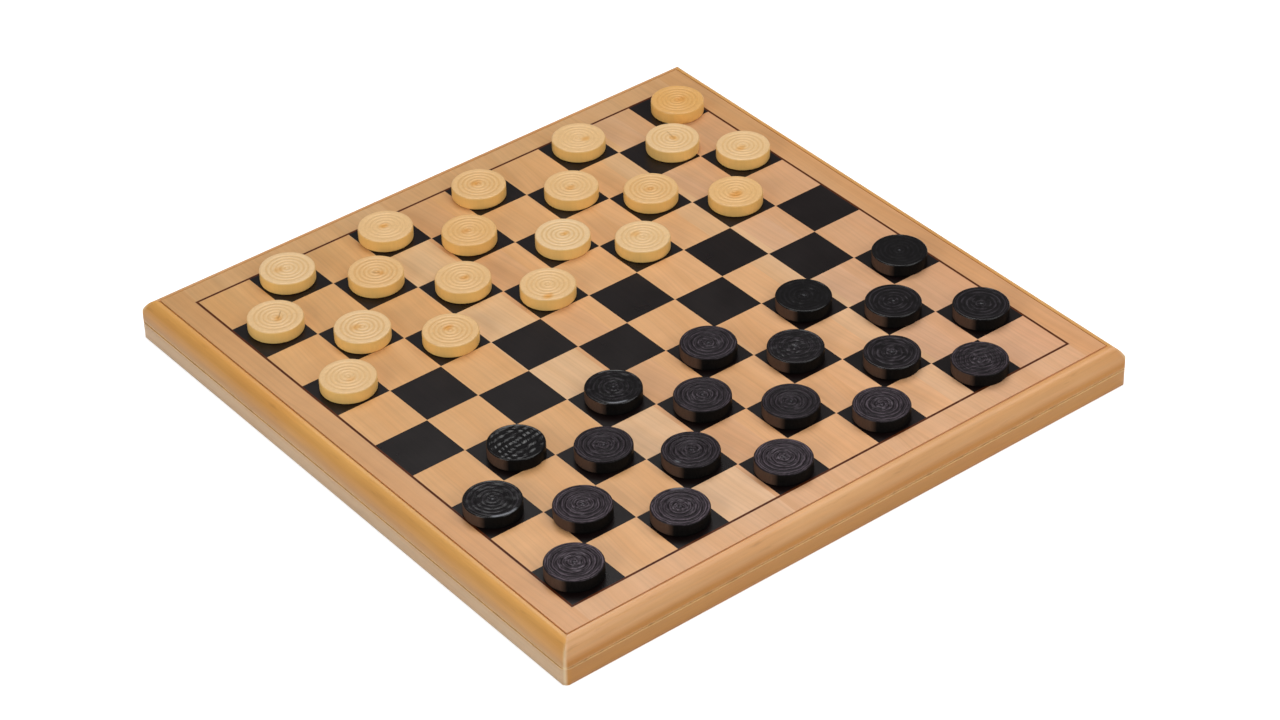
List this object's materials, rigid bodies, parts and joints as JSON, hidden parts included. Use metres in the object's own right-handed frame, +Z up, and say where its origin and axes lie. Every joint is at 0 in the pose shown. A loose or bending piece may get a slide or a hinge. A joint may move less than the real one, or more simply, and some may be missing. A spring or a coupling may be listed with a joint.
{
  "type": "checkers set",
  "caption": "Square wooden board for the ten by ten draughts game, with dark fields let in, a mitred moulded edging, and light and dark turned wooden men set out for play.",
  "frame": {"origin": "middle of the board's underside", "axes": "+X along the dark side's edge, +Y from the dark side to the light side, +Z up through the board"},
  "size_m": [0.4, 0.4, 0.0335],
  "materials": {
    "board_wood": "satin lacquered pale beech or maple, straight grain",
    "edging_wood": "satin lacquered golden wood",
    "dark_field": "satin black",
    "dark_line": "satin blackish brown",
    "light_man_wood": "satin pale turned wood, end grain on the faces",
    "dark_man_wood": "black stained turned wood with a soft gloss"
  },
  "bodies": {
    "root": {"panel": "board_wood", "front_rail": "edging_wood", "back_rail": "edging_wood", "left_rail": "edging_wood", "right_rail": "edging_wood", "dark_fields": "dark_field", "border_line": "dark_line", "light_man_01": "light_man_wood", "light_man_02": "light_man_wood", "light_man_03": "light_man_wood", "light_man_04": "light_man_wood", "light_man_05": "light_man_wood", "light_man_06": "light_man_wood", "light_man_07": "light_man_wood", "light_man_08": "light_man_wood", "light_man_09": "light_man_wood", "light_man_10": "light_man_wood", "light_man_11": "light_man_wood", "light_man_12": "light_man_wood", "light_man_13": "light_man_wood", "light_man_14": "light_man_wood", "light_man_15": "light_man_wood", "light_man_16": "light_man_wood", "light_man_17": "light_man_wood", "light_man_18": "light_man_wood", "light_man_19": "light_man_wood", "light_man_20": "light_man_wood", "dark_man_01": "dark_man_wood", "dark_man_02": "dark_man_wood", "dark_man_03": "dark_man_wood", "dark_man_04": "dark_man_wood", "dark_man_05": "dark_man_wood", "dark_man_06": "dark_man_wood", "dark_man_07": "dark_man_wood", "dark_man_08": "dark_man_wood", "dark_man_09": "dark_man_wood", "dark_man_10": "dark_man_wood", "dark_man_11": "dark_man_wood", "dark_man_12": "dark_man_wood", "dark_man_13": "dark_man_wood", "dark_man_14": "dark_man_wood", "dark_man_15": "dark_man_wood", "dark_man_16": "dark_man_wood", "dark_man_17": "dark_man_wood", "dark_man_18": "dark_man_wood", "dark_man_19": "dark_man_wood", "dark_man_20": "dark_man_wood"}
  },
  "joints": []
}
